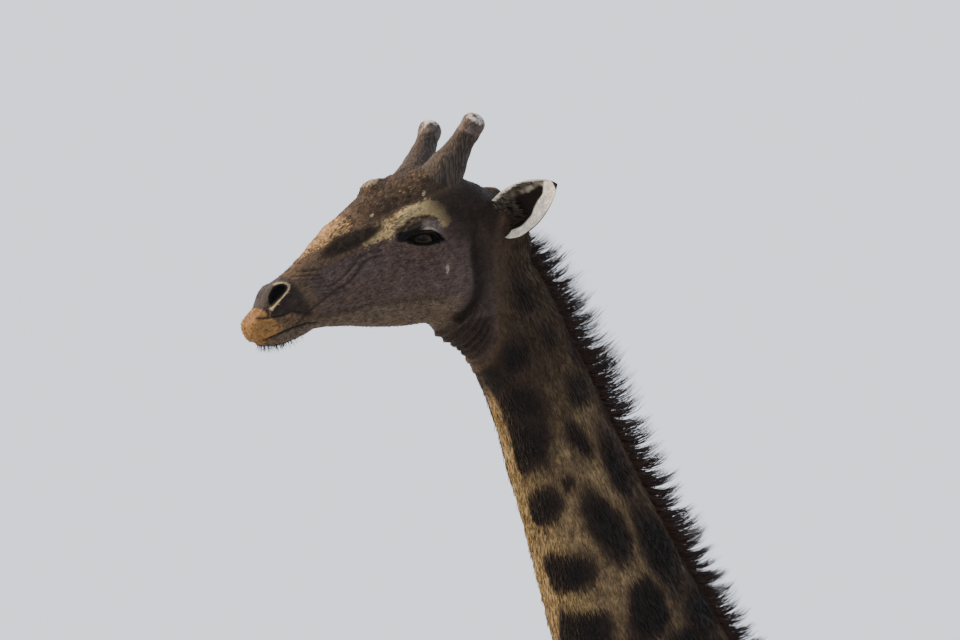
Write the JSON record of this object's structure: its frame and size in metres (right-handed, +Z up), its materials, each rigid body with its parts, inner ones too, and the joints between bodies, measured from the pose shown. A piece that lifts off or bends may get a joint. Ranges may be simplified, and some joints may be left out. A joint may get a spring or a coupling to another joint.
{
  "type": "giraffe",
  "caption": "Life-size old bull giraffe standing still, head high and facing forward, with dark lobed patches, short upright mane, knobbed ossicones and a tufted tail.",
  "frame": {"origin": "on the floor, at the middle of the bounding box from muzzle to tail and from side to side", "axes": "+Z up from the soles, the muzzle points along -X and the tail along +X, the animal's left side is -Y"},
  "size_m": [3.2413, 0.856, 5.2056],
  "materials": {
    "coat": "short flat hair, tan with dark brown lobed patches",
    "face_coat": "short flat hair and bare creased skin, grey-brown",
    "muzzle": "fine velvet hair with dark speckles",
    "ear": "soft cream hair inside, brown behind",
    "ossicone": "haired skin with bare scuffed knobs",
    "mane": "stiff upright bristles",
    "tail_tuft": "long coarse hair",
    "hoof": "horn, dull and ridged",
    "eye": "wet gloss"
  },
  "bodies": {
    "root": {"head": "face_coat", "lower_jaw": "muzzle", "left_eye": "eye", "right_eye": "eye", "left_ear": "ear", "right_ear": "ear", "left_ossicone": "ossicone", "right_ossicone": "ossicone", "neck": "coat", "mane": "mane", "trunk": "coat", "tail": "coat", "tail_tuft": "tail_tuft", "left_fore_forearm": "coat", "left_fore_cannon": "coat", "left_fore_inner_hoof": "hoof", "left_fore_outer_hoof": "hoof", "right_fore_forearm": "coat", "right_fore_cannon": "coat", "right_fore_inner_hoof": "hoof", "right_fore_outer_hoof": "hoof", "left_hind_gaskin": "coat", "left_hind_cannon": "coat", "left_hind_inner_hoof": "hoof", "left_hind_outer_hoof": "hoof", "right_hind_gaskin": "coat", "right_hind_cannon": "coat", "right_hind_inner_hoof": "hoof", "right_hind_outer_hoof": "hoof"}
  },
  "joints": []
}
